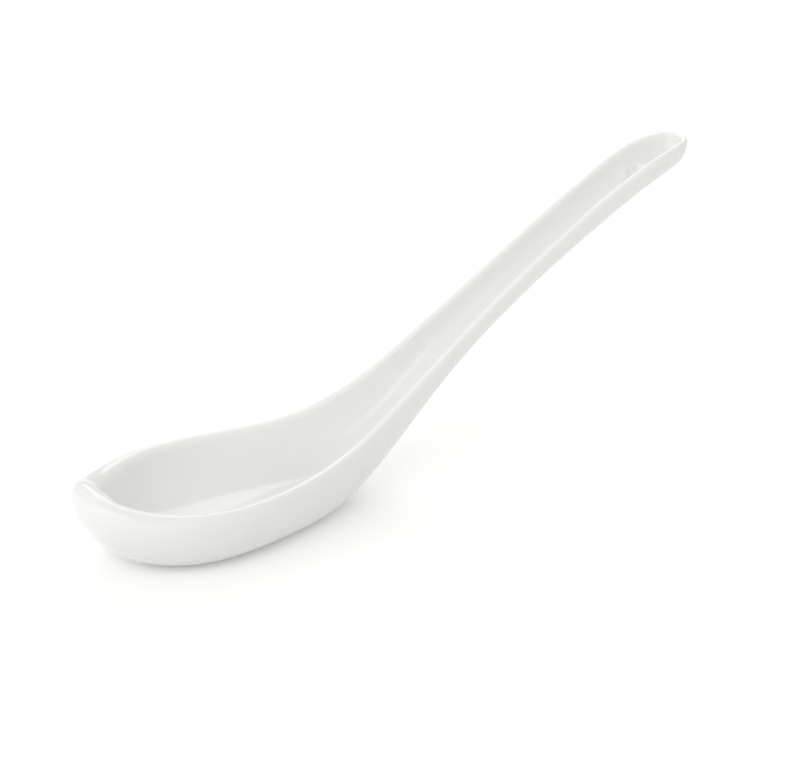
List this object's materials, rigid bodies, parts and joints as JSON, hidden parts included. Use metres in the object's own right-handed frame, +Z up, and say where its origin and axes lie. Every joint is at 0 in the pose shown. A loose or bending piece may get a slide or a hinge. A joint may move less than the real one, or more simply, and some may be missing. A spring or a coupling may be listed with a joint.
{
  "type": "chinese soup spoon",
  "caption": "White glazed porcelain Chinese soup spoon: deep oval flat-based bowl, raised channel handle and a round hanging hole near its end.",
  "frame": {"origin": "on the table, under the middle of the spoon's length and width", "axes": "+X from the front lip towards the handle's tip, +Z up, the spoon is alike on both sides of the XZ plane"},
  "size_m": [0.1334, 0.0316, 0.0555],
  "materials": {
    "biscuit": "matte",
    "glaze": "gloss",
    "base_glaze": "gloss"
  },
  "bodies": {
    "root": {"porcelain_body": "biscuit", "glaze_coat": "glaze", "base_glaze": "base_glaze"}
  },
  "joints": []
}
